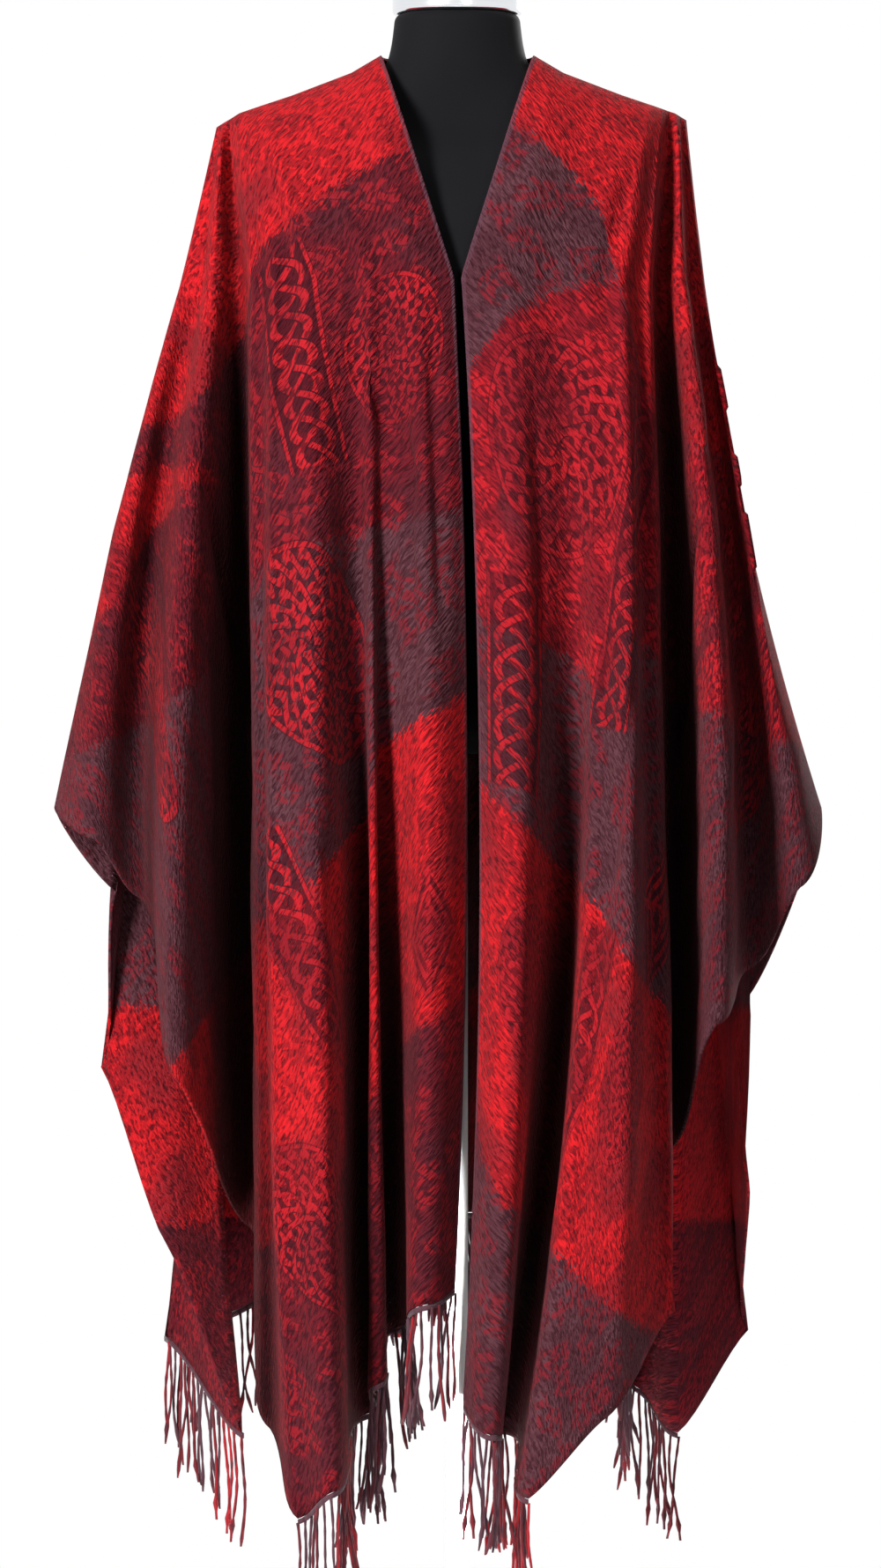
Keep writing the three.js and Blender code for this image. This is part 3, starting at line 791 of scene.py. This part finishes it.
# ---------------------------------------------------------------------------
# Left front of the ruana: the front half on the viewer's left of the slit. It
# is the same cloth, with a slim darker turned edge down the slit.
# ---------------------------------------------------------------------------
FRONT_LEFT = [
    ("slit", 65, (3, 118), (-8, 128), (2, 140), 413),
    ("chest lobe", 85, (30, 124), (24, 160), (28, 180), 403),
    ("centre valley", 108, (62, 117), (63, 100), (56, 50), 372),
    ("hidden lobe", 128, (74, 119), (70, 134), (66, 145), 335),
    ("inner valley", 146, (86, 114), (79, 98), (77, 45), 300),
    ("front lobe", 165, (122, 114), (118, 178), (104, 205), 251),
    ("corner", 180, (150, 100), (152, 158), (132, 172), 226),
    ("lobe edge", 188, (168, 84), (163, 118), (160, 112), 298),
    ("side valley", 194, (184, 46), (181, 18), (176, 15), 455),
    ("wing strip", 199, (206, 68), (232, 126), (235, 140), 588),
    ("wing dip", 202, (218, 44), (262, 42), (268, 42), 735),
    ("wing face", 204, (230, 42), (282, 72), (306, 76), 786),
    ("shoulder fold", 205, (235, 0), (293, 0), (343, 0), 813),
]
# Heights where the colour changes: bright, maroon, bright, maroon, plum, bright, maroon. The
# second bright stripe opens only on the wing; further in its lower edge lies above its upper.
LEFT_BANDS = {
    "slit": (1368, 1080, 1100, 1060, 912, 662),
    "centre valley": (1342, 1080, 1100, 1050, 865, 606),
    "inner valley": (1322, 1080, 1100, 1042, 800, 540),
    "front lobe": (1306, 1080, 1100, 1030, 752, 484),
    "lobe edge": (1272, 1080, 1095, 1010, 722, 448),
    "side valley": (1205, 1080, 1085, 960, 690, 430),
    "wing strip": (1158, 1098, 1085, 905, 600, 420),
    "wing dip": (1140, 1100, 1050, 880, 580, 410),
    "shoulder fold": (1128, 1086, 925, 850, 560, 400),
}
LEFT_CREASES = [
    (0.022, 0.26, 0.030, 0.58, 0.007, 0.006), (0.050, 0.30, 0.066, 0.66, 0.007, 0.006),
    (0.100, 0.26, 0.040, 0.46, 0.008, 0.005), (0.24, 0.40, 0.30, 0.85, 0.016, 0.004),
    (0.42, 0.30, 0.50, 0.62, 0.014, 0.005), (0.12, 0.10, 0.17, 0.34, 0.010, 0.004),
]
left_grid, left_places = panel_points(in_metres(FRONT_LEFT), -1, -1, int(210 * FINE),
                                      int(140 * FINE))
left_cloth = jacquard("jacquard_left", [BRIGHT, MAROON, BRIGHT, MAROON, PLUM, BRIGHT, MAROON],
                      [(0.215, 0.53, 0.066), (0.058, 0.30, 0.042), (0.86, 0.50, 0.085),
                       (0.46, 1.01, 0.055)],
                      [(0.148, 0.18, 0.38), (0.345, 0.66, 0.86)],
                      [(0.050, 0.80, 0.035)])
front_left = cloth_piece("ruana_front_left_cloth", left_grid, left_places, 1, LEFT_BANDS,
                         [row[0] for row in FRONT_LEFT], left_cloth, LEFT_CREASES, 7.0)
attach(front_left, "root")
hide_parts("ruana_front_left")

# ---------------------------------------------------------------------------
# Right front of the ruana: the front half on the viewer's right of the slit,
# of the same cloth. Its hem hangs lower at the slit than the left one does.
# ---------------------------------------------------------------------------
FRONT_RIGHT = [
    ("slit", 65, (3, 118), (18, 130), (4, 145), 318),
    ("chest lobe", 85, (40, 124), (50, 168), (26, 190), 297),
    ("soft valley", 115, (82, 114), (93, 98), (42, 20), 285),
    ("corner", 148, (110, 114), (115, 158), (58, 178), 243),
    ("front lobe", 164, (134, 110), (140, 176), (124, 180), 311),
    ("lobe edge", 174, (158, 88), (163, 122), (181, 122), 393),
    ("side valley", 180, (172, 46), (182, 18), (178, 16), 520),
    ("wing strip", 186, (188, 66), (214, 124), (216, 132), 632),
    ("wing dip", 190, (198, 42), (238, 40), (250, 38), 677),
    ("wing face", 193, (206, 38), (252, 70), (288, 74), 745),
    ("shoulder fold", 195, (210, 0), (250, 0), (310, 0), 812),
]
# Heights where the colour changes: bright, plum, mid red, plum, bright, plum.
RIGHT_BANDS = {
    "slit": (1385, 1170, 970, 836, 560), "chest lobe": (1372, 1222, 960, 802, 484),
    "soft valley": (1342, 1242, 935, 758, 460), "corner": (1308, 1250, 905, 732, 440),
    "front lobe": (1255, 1250, 960, 690, 400), "lobe edge": (1160, 1158, 945, 652, 366),
    "side valley": (1130, 1128, 900, 560, 300), "wing strip": (1115, 1112, 890, 380, 250),
    "shoulder fold": (1098, 1095, 860, 300, 200),
}
RIGHT_CREASES = [
    (0.018, 0.28, 0.030, 0.52, 0.007, 0.004), (0.060, 0.30, 0.075, 0.60, 0.010, 0.004),
    (0.20, 0.35, 0.24, 0.80, 0.014, 0.005), (0.42, 0.32, 0.50, 0.60, 0.014, 0.004),
    (0.11, 0.10, 0.13, 0.30, 0.010, 0.004),
]
right_grid, right_places = panel_points(in_metres(FRONT_RIGHT), 1, -1, int(200 * FINE),
                                        int(140 * FINE))
right_cloth = jacquard("jacquard_right", [BRIGHT, PLUM, MIDRED, PLUM, BRIGHT, PLUM],
                       [(0.085, 0.375, 0.062), (0.085, 0.83, 0.045), (0.86, 0.52, 0.075),
                        (0.36, 0.88, 0.05)],
                       [(0.185, 0.30, 0.60), (0.045, 0.50, 0.68), (0.245, 0.76, 1.04)],
                       [(0.40, 0.72, 0.05)])
front_right = cloth_piece("ruana_front_right_cloth", right_grid, right_places, -1, RIGHT_BANDS,
                          [row[0] for row in FRONT_RIGHT], right_cloth, RIGHT_CREASES, 11.0)
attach(front_right, "root")
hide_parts("ruana_front_right")

# ---------------------------------------------------------------------------
# Fringe: the warp ends left below the hems, twisted in two ply and knotted near
# their tips. Each strand is set on the hem by Geometry Nodes at an even pitch.
# ---------------------------------------------------------------------------
PITCH = 0.0085
YARN_R = 0.00122
KNOT_R = 0.0012  # how much the knot adds
KNOT_AT, KNOT_LONG = 0.88, 0.035  # shares of a strand's length
PLY_SQUEEZE, PLY_TURNS = 0.28, 26
# Kinds of strand: how far each bends, and its length.
STRANDS = [((0.006, 0.004), 0.094), ((-0.005, 0.005), 0.098), ((0.003, -0.006), 0.090),
           ((-0.009, -0.002), 0.096), ((0.010, -0.001), 0.093)]
HEADING = (0.0006, 0.0050)  # below the hem, where the knotted heading starts and ends
ROOTS = 0.0035


def twisted_yarn():
    w = Wires("twisted_yarn")
    spot = w.place()
    tone = w.attribute("tone")
    ply = w.noise(w.mapping(spot, (260, 260, 60)), 1.0, 2.0)
    group = w.scaled(w.noise(w.mapping(spot, (1, 1, 0.02)), 17.0, 1.0), 2.2, -0.6)
    tone = w.scaled(tone, 0.5, w.times(group, 0.6))
    colour = w.blend(w.ramp(tone, 0.40, 0.60), (0.080, 0.030, 0.042, 1), (0.13, 0.008, 0.014, 1))
    colour = w.blend(w.ramp(tone, 0.68, 0.84), colour, (0.34, 0.010, 0.016, 1))
    colour = w.blend(w.ramp(ply, 0.45, 0.7), colour, (0.05, 0.012, 0.02, 1))
    w.bump(ply, 0.5, 0.0008)
    return w.finish(colour, w.scaled(ply, 0.15, 0.78), Sheen_Weight=0.15,
                    Sheen_Roughness=0.5, Specular_IOR_Level=0.2)


yarn = twisted_yarn()


def strand_shape(name, bend, long, sides=6, steps=14):
    """One strand hanging from its root: a two-ply twist, a knot, and a short loose tail."""
    points, faces = [], []
    for j in range(steps + 1):
        t = j / steps
        knot = math.exp(-((t - KNOT_AT) / KNOT_LONG) ** 2)
        radius = YARN_R + KNOT_R * knot - 0.0003 * max(0.0, t - 0.92) / 0.08
        x = bend[0] * t * t + 0.0012 * math.sin(7 * t + bend[1] * 300)
        y = bend[1] * t * t + 0.0012 * math.cos(6 * t + bend[0] * 300)
        for k in range(sides):
            a = 2 * math.pi * k / sides + 9 * t
            squeeze = radius * (1 + PLY_SQUEEZE * math.cos(2 * (a - PLY_TURNS * t)))
            points.append((x + squeeze * math.cos(a), y + squeeze * math.sin(a), -long * t))
    for j in range(steps):
        for k in range(sides):
            a, b = j * sides + k, j * sides + (k + 1) % sides
            faces.append((b, a, a + sides, b + sides))
    faces.append(tuple(range(sides)))
    faces.append(tuple(steps * sides + k for k in reversed(range(sides))))
    piece = mesh_piece(name, points, faces, yarn)
    bpy.context.scene.collection.objects.unlink(piece)
    return piece


strands = bpy.data.collections.new("strands")
for i, (bend, long) in enumerate(STRANDS):
    strands.objects.link(strand_shape(f"strand_{i}", bend, long))


def fringe_tree():
    tree = bpy.data.node_groups.new("set_fringe", "GeometryNodeTree")
    face = tree.interface
    face.new_socket("Hem", in_out="INPUT", socket_type="NodeSocketGeometry")
    pitch = face.new_socket("Pitch", in_out="INPUT", socket_type="NodeSocketFloat")
    seed = face.new_socket("Seed", in_out="INPUT", socket_type="NodeSocketInt")
    face.new_socket("Fringe", in_out="OUTPUT", socket_type="NodeSocketGeometry")
    new = tree.nodes.new
    start, end = new("NodeGroupInput"), new("NodeGroupOutput")
    line, even = new("GeometryNodeMeshToCurve"), new("GeometryNodeResampleCurve")
    even.mode = "LENGTH"
    kinds, place = new("GeometryNodeCollectionInfo"), new("GeometryNodeInstanceOnPoints")
    kinds.inputs["Collection"].default_value = strands
    kinds.inputs["Separate Children"].default_value = True
    kinds.inputs["Reset Children"].default_value = True
    place.inputs["Pick Instance"].default_value = True
    pick, turn, size, tone = (new("FunctionNodeRandomValue") for _ in range(4))
    pick.data_type = "INT"
    pick.inputs[4].default_value, pick.inputs[5].default_value = 0, len(STRANDS) - 1
    turn.data_type = "FLOAT_VECTOR"
    turn.inputs[0].default_value = (-0.06, -0.06, -3.1)
    turn.inputs[1].default_value = (0.06, 0.06, 3.1)
    size.inputs[2].default_value, size.inputs[3].default_value = 0.93, 1.03
    keep = new("GeometryNodeStoreNamedAttribute")
    keep.domain = "INSTANCE"
    keep.inputs["Name"].default_value = "tone"
    real, paint = new("GeometryNodeRealizeInstances"), new("GeometryNodeSetMaterial")
    paint.inputs["Material"].default_value = yarn
    link = tree.links.new
    link(start.outputs[0], line.inputs[0])
    link(line.outputs[0], even.inputs[0])
    link(start.outputs[1], even.inputs["Length"])
    link(even.outputs[0], place.inputs["Points"])
    link(kinds.outputs[0], place.inputs["Instance"])
    for chance in (pick, turn, size, tone):
        link(start.outputs[2], chance.inputs["Seed"])
    link(pick.outputs[2], place.inputs["Instance Index"])
    link(turn.outputs[0], place.inputs["Rotation"])
    link(size.outputs[1], place.inputs["Scale"])
    link(place.outputs[0], keep.inputs["Geometry"])
    link(tone.outputs[1], keep.inputs["Value"])
    link(keep.outputs[0], real.inputs[0])
    link(real.outputs[0], paint.inputs[0])
    link(paint.outputs[0], end.inputs[0])
    return tree, pitch.identifier, seed.identifier


fringe_group, pitch_key, seed_key = fringe_tree()


def hem_fringe(name, node, hem, outward, seed):
    """The strands of one hem, with a narrow knotted heading that their roots are fused in."""
    n = len(hem)
    centre = hem + outward * (CLOTH / 2)
    centre[:, 2] -= ROOTS
    carrier = bpy.data.meshes.new(name + "_hem")
    carrier.from_pydata([tuple(p) for p in centre], [(i, i + 1) for i in range(n - 1)], [])
    line = bpy.data.objects.new(name + "_hem", carrier)
    bpy.context.scene.collection.objects.link(line)
    change = line.modifiers.new("fringe", "NODES")
    change.node_group = fringe_group
    change[pitch_key] = PITCH
    change[seed_key] = seed
    graph = bpy.context.evaluated_depsgraph_get()
    made = bpy.data.meshes.new_from_object(line.evaluated_get(graph), depsgraph=graph)
    bpy.data.objects.remove(line)
    tops, feet = hem - [0, 0, HEADING[0]], hem - [0, 0, HEADING[1]]
    ring = np.stack([tops, feet, feet + outward * CLOTH, tops + outward * CLOTH], axis=1)
    heading = bpy.data.meshes.new(name + "_heading")
    faces = []
    for i in range(n - 1):
        for k in range(4):
            a, b = i * 4 + k, i * 4 + (k + 1) % 4
            faces.append((a, b, b + 4, a + 4))
    faces += [(3, 2, 1, 0), (4 * n - 4, 4 * n - 3, 4 * n - 2, 4 * n - 1)]
    heading.from_pydata([tuple(p) for p in ring.reshape(-1, 3)], [], faces)
    heading.materials.append(yarn)
    first = bpy.data.objects.new(name, made)
    second = bpy.data.objects.new(name + "_2", heading)
    for obj in (first, second):
        bpy.context.scene.collection.objects.link(obj)
    with bpy.context.temp_override(active_object=first, selected_editable_objects=[first, second]):
        bpy.ops.object.join()
    for face in first.data.polygons:
        face.use_smooth = True
    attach(first, "root")
    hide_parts(node)
    return first


def hem_line(table, grid, places, outside):
    """The hem's points as far as the cloth's corner, and the way out of the cloth at each."""
    corner = [row[0] for row in table].index("corner")
    inside = places <= corner + 1e-6
    return grid[-1, inside].copy(), grid_normals(grid, outside)[-1, inside].copy()


FRINGES = [
    ("fringe_front_left", FRONT_LEFT, left_grid, left_places, 1, 4),
    ("fringe_front_right", FRONT_RIGHT, right_grid, right_places, -1, 9),
    ("fringe_back_left", BACK_LEFT, back_left_grid, back_left_places, -1, 14),
    ("fringe_back_right", BACK_RIGHT, back_right_grid, back_right_places, 1, 21),
]
fringe_left, fringe_right, fringe_back_left, fringe_back_right = (
    hem_fringe(node + "_yarn", node, *hem_line(table, grid, places, outside), seed)
    for node, table, grid, places, outside, seed in FRINGES)
for helper in list(strands.objects):
    bpy.data.objects.remove(helper)

# ---------------------------------------------------------------------------
# Studio: a round pale floor, large soft lamps in front and behind, a low lamp on
# the stand alone, a white surround that gives little light, and a level camera.
# ---------------------------------------------------------------------------


def studio_paper():
    w = Wires("studio_paper")
    spot = w.place()
    grain = w.noise(spot, 60.0, 2.0)
    colour = w.blend(grain, (0.90, 0.90, 0.90, 1), (0.94, 0.94, 0.94, 1))
    w.bump(grain, 0.05, 0.0005)
    return w.finish(colour, w.scaled(grain, 0.05, 0.9))


FLOOR_R, FLOOR_Z, FLOOR_SIDES = 1.2, -0.0002, 128
rim_points = [(CENTRE.x + FLOOR_R * math.cos(a), CENTRE.y + FLOOR_R * math.sin(a), FLOOR_Z)
              for a in np.linspace(0, 2 * math.pi, FLOOR_SIDES + 1)[:-1]]
floor = mesh_piece("studio_floor", rim_points, [tuple(range(FLOOR_SIDES))], studio_paper(),
                   smooth=False)

world = bpy.data.worlds.new("surround")
bpy.context.scene.world = world
world.use_nodes = True
sky = world.node_tree
path, level = sky.nodes.new("ShaderNodeLightPath"), sky.nodes.new("ShaderNodeMath")
level.operation = "MULTIPLY_ADD"
AMBIENT = 0.035
level.inputs[1].default_value, level.inputs[2].default_value = 1.0 - AMBIENT, AMBIENT
seen = sky.nodes.new("ShaderNodeMath")
seen.operation = "MAXIMUM"
sky.links.new(path.outputs["Is Camera Ray"], seen.inputs[0])
sky.links.new(path.outputs["Is Glossy Ray"], seen.inputs[1])
sky.links.new(seen.outputs[0], level.inputs[0])
sky.links.new(level.outputs[0], sky.nodes["Background"].inputs[1])
sky.nodes["Background"].inputs[0].default_value = (1, 1, 1, 1)


def soft_lamp(name, place, aim, size, power):
    data = bpy.data.lights.new(name, "AREA")
    data.shape = "RECTANGLE"
    data.size, data.size_y = size
    data.energy = power
    lamp = bpy.data.objects.new(name, data)
    lamp.location = place
    lamp.rotation_euler = (Vector(aim) - Vector(place)).to_track_quat("-Z", "Y").to_euler()
    bpy.context.scene.collection.objects.link(lamp)
    return lamp


# Each lamp: name, place, aim, size in metres and power in watts.
LAMPS = [
    ("key", (-2.1, -3.2, 2.1), (0, 0, 0.9), (0.8, 1.3), 285),
    ("fill", (1.2, -4.2, 1.4), (0, 0, 0.85), (0.6, 1.2), 24),
    ("top", (0.3, 0.2, 3.4), (0, 0, 1.0), (1.4, 1.0), 12),
    ("back", (1.8, 3.2, 2.2), (0, 0, 0.9), (1.4, 1.8), 120),
    ("stand light", (0.2, -1.6, 0.2), (0, 0, 0.19), (0.3, 0.06), 75),
]
STAND_SPREAD = 24
lamps = [soft_lamp(*row) for row in LAMPS]
low_lamp = lamps[-1]
low_lamp.data.spread = math.radians(STAND_SPREAD)
lit = bpy.data.collections.new("stand")
for piece in (pole, base):
    lit.objects.link(piece)
low_lamp.light_linking.receiver_collection = lit

DISTANCE = 5.5
VIEW_X = CENTRE.x - 0.0143
VIEW_Z = 0.832
VIEW_HEIGHT = 1.335  # the height that the picture shows at the stand
SENSOR = 36.0
data = bpy.data.cameras.new("camera")
data.sensor_fit = "VERTICAL"
data.sensor_height = SENSOR
data.lens = SENSOR * DISTANCE / VIEW_HEIGHT
data.clip_end = 60.0
camera = bpy.data.objects.new("camera", data)
camera.location = (VIEW_X, CENTRE.y - DISTANCE, VIEW_Z)
camera.rotation_euler = (math.pi / 2, 0, 0)
bpy.context.scene.collection.objects.link(camera)
bpy.context.scene.camera = camera
bpy.context.scene.view_settings.view_transform = "Standard"
bpy.context.scene.view_settings.look = "None"
